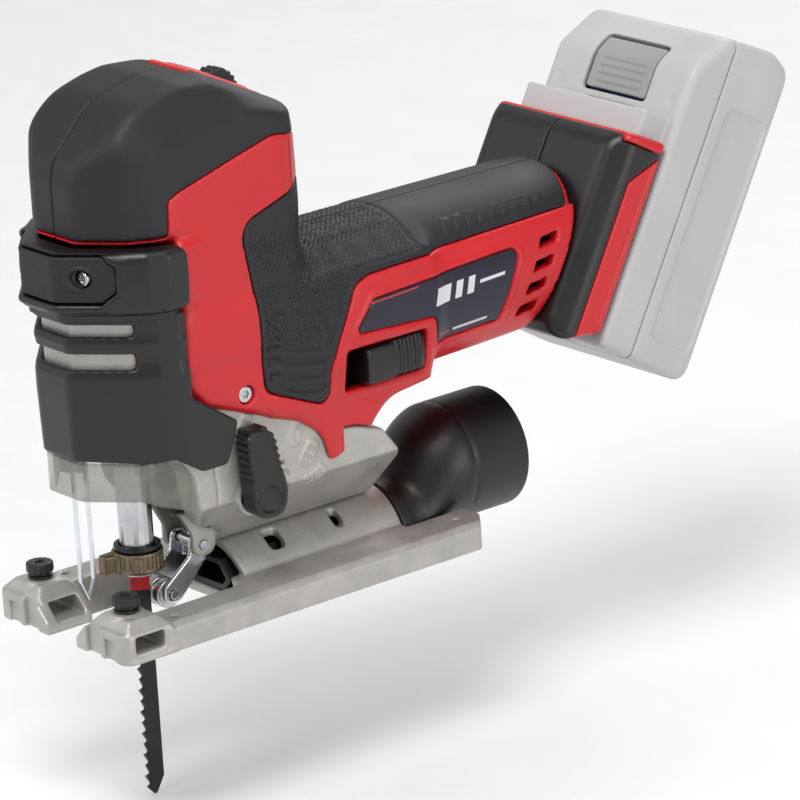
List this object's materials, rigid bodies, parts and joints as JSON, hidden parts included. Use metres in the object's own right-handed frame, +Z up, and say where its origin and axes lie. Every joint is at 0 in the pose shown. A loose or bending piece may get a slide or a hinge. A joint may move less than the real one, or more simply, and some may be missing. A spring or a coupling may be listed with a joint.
{
  "type": "cordless jigsaw",
  "caption": "Barrel-grip cordless jigsaw with slide-on battery pack, tilting cast sole, toolless blade clamp, roller guide, chip shield and rear dust outlet.",
  "frame": {"origin": "middle of the sole's flat underside", "axes": "+Z up through the head, -Y the direction of cut, +X the operator's left-hand side"},
  "size_m": [0.075, 0.3137, 0.256],
  "materials": {
    "red_shell": "satin moulded glass-filled nylon",
    "soft_black": "matt soft-touch overmould",
    "hard_black": "fine spark-eroded satin",
    "label_navy": "semi-gloss printed film",
    "cast_aluminium": "die cast, blasted",
    "bright_steel": "ground",
    "zinc_plate": "bright zinc plate",
    "bronze_collar": "dull bronze plate",
    "blade_black": "black phosphate",
    "smoked_clear": "clear smoked plastic",
    "motor_iron": "laminated, varnished",
    "circuit_green": "coated board",
    "bush_brass": "sintered bronze",
    "pack_grey": "fine satin",
    "pack_dark": "fine satin",
    "cell_wrap": "shrink film"
  },
  "bodies": {
    "housing": {"housing_left": "red_shell", "housing_right": "red_shell", "head_cap_left": "soft_black", "head_cap_right": "soft_black", "grip_left": "soft_black", "grip_right": "soft_black", "speed_bezel": "red_shell", "label_left": "label_navy", "label_right": "label_navy", "front_band": "hard_black", "front_pad": "soft_black", "band_screw_left": "bright_steel", "band_screw_right": "bright_steel", "front_skirt": "hard_black", "gear_housing": "cast_aluminium", "bracket_pin": "bright_steel", "wire_guard": "zinc_plate", "lower_bush": "bush_brass", "upper_bush": "bush_brass", "gear_axle": "bright_steel", "front_bearing": "bright_steel", "rear_bearing": "bright_steel", "bearing_plate": "cast_aluminium", "bush_bridge": "cast_aluminium", "motor_stator": "motor_iron", "switch_module": "hard_black", "controller_board": "circuit_green", "speed_wheel_pin": "bright_steel", "housing_screw": "bright_steel", "battery_foot_left": "soft_black", "battery_foot_right": "soft_black", "foot_trim_left": "red_shell", "foot_trim_right": "red_shell", "foot_top_trim": "red_shell", "terminal_block": "hard_black"},
    "rotor": {"rotor": "bright_steel", "cooling_fan": "hard_black"},
    "gear": {"drive_gear": "bright_steel"},
    "plunger": {"plunger": "bright_steel", "saw_blade": "blade_black", "clamp_body": "bright_steel", "collar_ring": "hard_black"},
    "clamp": {"clamp_collar": "bronze_collar"},
    "bracket": {"guide_bracket": "zinc_plate", "roller_axle": "bright_steel"},
    "roller": {"guide_roller": "bright_steel"},
    "lever": {"orbital_lever": "hard_black"},
    "switch": {"switch_slider": "hard_black"},
    "speed": {"speed_wheel": "hard_black"},
    "shield": {"chip_shield": "smoked_clear"},
    "base": {"sole": "cast_aluminium", "dust_duct": "hard_black"},
    "bevel_screw": {"bevel_clamp_screw": "bright_steel"},
    "knob_left": {"guide_screw_left": "hard_black"},
    "knob_right": {"guide_screw_right": "hard_black"},
    "dust_port": {"dust_port": "hard_black"},
    "battery": {"battery_case": "pack_grey", "battery_cover": "pack_grey", "battery_cells": "cell_wrap"},
    "latch": {"battery_latch": "pack_dark"}
  },
  "joints": [
    {"name": "rotor_spin", "type": "hinge", "parent": "housing", "child": "rotor", "pos_m": [0, 0.023, 0.093], "axis": [0, 1, 0], "continuous": true},
    {"name": "gear_spin", "type": "hinge", "parent": "housing", "child": "gear", "pos_m": [0, -0.021, 0.12085], "axis": [0, 1, 0], "continuous": true},
    {"name": "plunger_stroke", "type": "slide", "parent": "housing", "child": "plunger", "axis": [0, 0, 1], "range_m": [0, 0.026]},
    {"name": "clamp_turn", "type": "hinge", "parent": "plunger", "child": "clamp", "pos_m": [0, -0.047, 0.021], "axis": [0, 0, 1], "range_deg": [0, 30], "stiffness_Nm_per_rad": 0.05},
    {"name": "guide_swing", "type": "hinge", "parent": "housing", "child": "bracket", "pos_m": [0, -0.0255, 0.0223], "axis": [1, 0, 0], "range_deg": [0, 5]},
    {"name": "roller_spin", "type": "hinge", "parent": "bracket", "child": "roller", "pos_m": [0, -0.03775, 0.0065], "axis": [1, 0, 0], "continuous": true},
    {"name": "orbit_lever", "type": "hinge", "parent": "housing", "child": "lever", "pos_m": [0.033, -0.0165, 0.0425], "axis": [-1, 0, 0], "range_deg": [0, 75]},
    {"name": "switch_slide", "type": "slide", "parent": "housing", "child": "switch", "axis": [0, -1, 0], "range_m": [0, 0.0065]},
    {"name": "speed_turn", "type": "hinge", "parent": "housing", "child": "speed", "pos_m": [0, -0.002, 0.1768], "axis": [1, 0, 0], "range_deg": [0, 270]},
    {"name": "shield_slide", "type": "slide", "parent": "housing", "child": "shield", "axis": [0, -1, 0], "range_m": [0, 0.03]},
    {"name": "bevel_tilt", "type": "hinge", "parent": "housing", "child": "base", "pos_m": [0, 0, 0.002], "axis": [0, 1, 0], "range_deg": [-45, 45]},
    {"name": "bevel_screw_turn", "type": "hinge", "parent": "base", "child": "bevel_screw", "pos_m": [0, 0.017, 0.002], "axis": [0, 0, 1], "range_deg": [0, 360]},
    {"name": "knob_left_turn", "type": "hinge", "parent": "base", "child": "knob_left", "pos_m": [0.0248, -0.071, 0.016], "axis": [0, 0, 1], "range_deg": [0, 540]},
    {"name": "knob_right_turn", "type": "hinge", "parent": "base", "child": "knob_right", "pos_m": [-0.0248, -0.071, 0.016], "axis": [0, 0, 1], "range_deg": [0, 540]},
    {"name": "dust_port_slide", "type": "slide", "parent": "base", "child": "dust_port", "axis": [0, 1, 0], "range_m": [0, 0.045]},
    {"name": "battery_slide", "type": "slide", "parent": "housing", "child": "battery", "axis": [0, 0.4848, 0.8746], "range_m": [0, 0.08]},
    {"name": "latch_press", "type": "slide", "parent": "battery", "child": "latch", "axis": [0, 0.8746, -0.4848], "range_m": [0, 0.0008], "stiffness_N_per_m": 800}
  ],
  "couplings": [
    {"joint": "gear_spin", "follows": "rotor_spin", "ratio": -0.22222}
  ]
}
